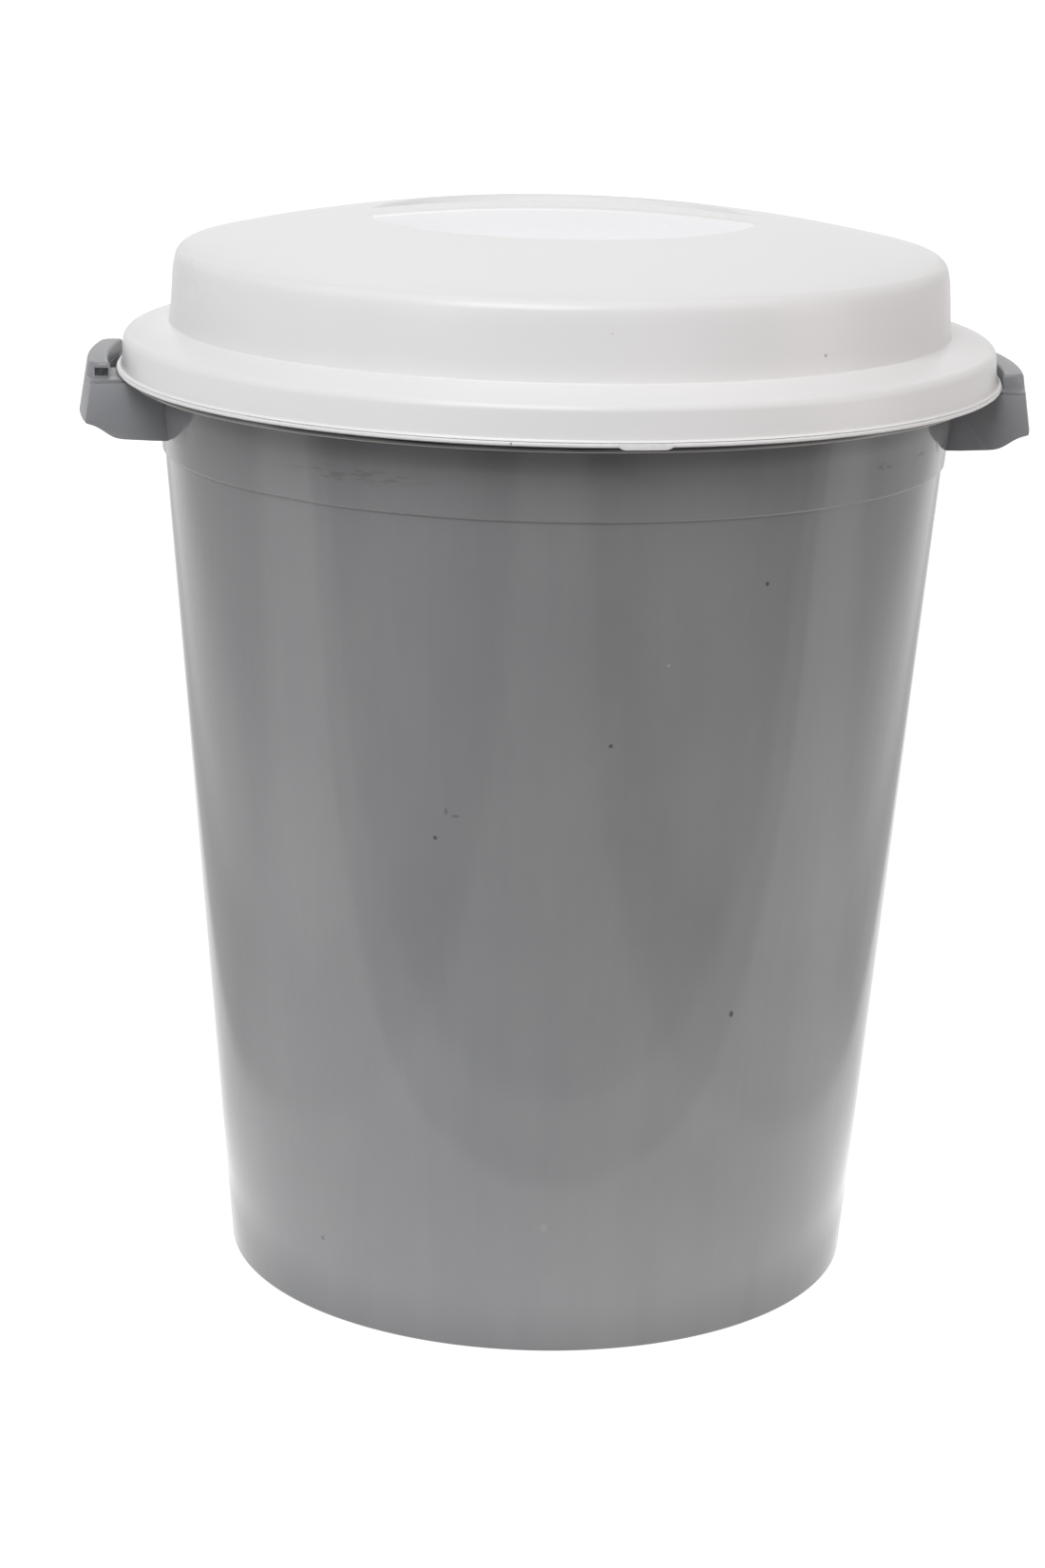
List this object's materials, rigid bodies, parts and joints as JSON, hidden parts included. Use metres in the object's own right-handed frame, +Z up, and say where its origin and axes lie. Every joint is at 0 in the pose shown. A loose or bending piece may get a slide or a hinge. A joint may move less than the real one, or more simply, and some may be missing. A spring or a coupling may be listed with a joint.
{
  "type": "lidded bucket",
  "caption": "Round tapered plastic bucket with moulded side handles and a loose domed lid that lifts off by a recessed grip bar.",
  "frame": {"origin": "centre of the ring the bucket stands on, at ground height", "axes": "+Z up along the bucket's axis, X through the two side handles, -Y towards the side with the lid's pull tab"},
  "size_m": [0.4828, 0.4493, 0.554],
  "materials": {
    "grey_plastic": "smooth moulded polypropylene with a soft sheen",
    "white_plastic": "smooth moulded polypropylene, glossier than the body"
  },
  "bodies": {
    "root": {"bucket_body": "grey_plastic", "lid": "white_plastic"}
  },
  "joints": []
}
